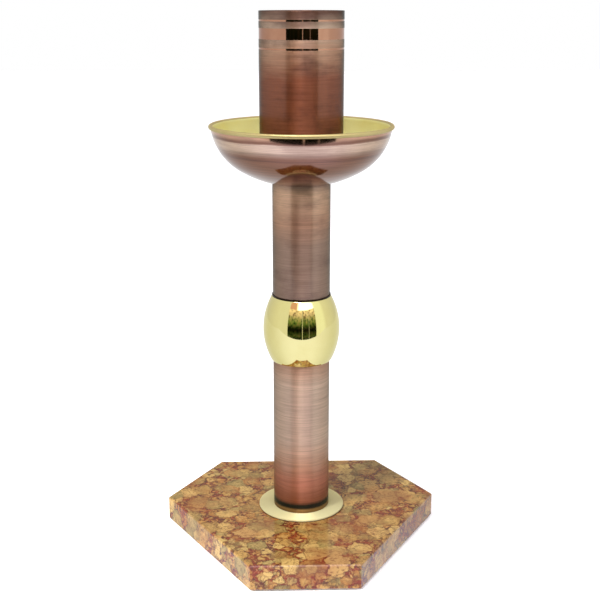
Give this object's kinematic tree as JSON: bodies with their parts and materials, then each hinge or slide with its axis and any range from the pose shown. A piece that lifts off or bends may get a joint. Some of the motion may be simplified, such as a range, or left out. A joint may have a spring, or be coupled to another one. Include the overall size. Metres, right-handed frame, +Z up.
{
  "type": "altar candlestick",
  "caption": "Free-standing altar candlestick: marble foot, tubular stem with a round knop, wax-catching bowl and a screw-on tubular candle socket.",
  "frame": {"origin": "on the stem's axis, on the underside of the felt, where the candlestick stands", "axes": "+Z up along the stem and the candle, -Y towards the short side of the marble that faces the viewer"},
  "size_m": [0.22, 0.1905, 0.4135],
  "materials": {
    "felt": "matt wool felt",
    "marble": "polished nodular marble",
    "nylon": "turned nylon",
    "steel": "zinc plated",
    "cork_sheet": "dark cork sheet",
    "polished_brass": "polished and lacquered",
    "turned_brass": "turned",
    "antique_copper": "finely brushed, patinated copper",
    "dark_bronze": "dark oxidised",
    "polished_copper": "polished copper",
    "satin_brass": "satin brass",
    "red_fibre": "vulcanised fibre"
  },
  "bodies": {
    "stand": {"base_felt": "felt", "marble_base": "marble", "marble_bush": "nylon", "base_washer": "steel", "spring_washer": "steel", "base_nut": "steel", "tie_rod": "steel", "foot_gasket": "cork_sheet", "foot_disc": "polished_brass", "lower_foot_plug": "turned_brass", "lower_tube": "antique_copper", "lower_head_plug": "turned_brass", "knop": "polished_brass", "knop_sleeve": "steel", "upper_foot_plug": "dark_bronze", "upper_tube": "antique_copper", "upper_head_plug": "turned_brass", "drip_bowl": "polished_copper", "wax_liner": "satin_brass", "bowl_washer": "steel", "bowl_nut": "steel"},
    "washer": {"socket_washer": "red_fibre"},
    "socket": {"socket_floor": "turned_brass", "socket_tube": "antique_copper"}
  },
  "joints": [
    {"name": "socket_turn", "type": "hinge", "parent": "stand", "child": "washer", "pos_m": [0, 0, 0.29], "axis": [0, 0, 1], "range_deg": [0, 2160]},
    {"name": "socket_rise", "type": "slide", "parent": "washer", "child": "socket", "axis": [0, 0, 1], "range_m": [0, 0.0075]}
  ],
  "couplings": [
    {"joint": "socket_rise", "follows": "socket_turn", "m_per_rad": 0.00019894}
  ]
}
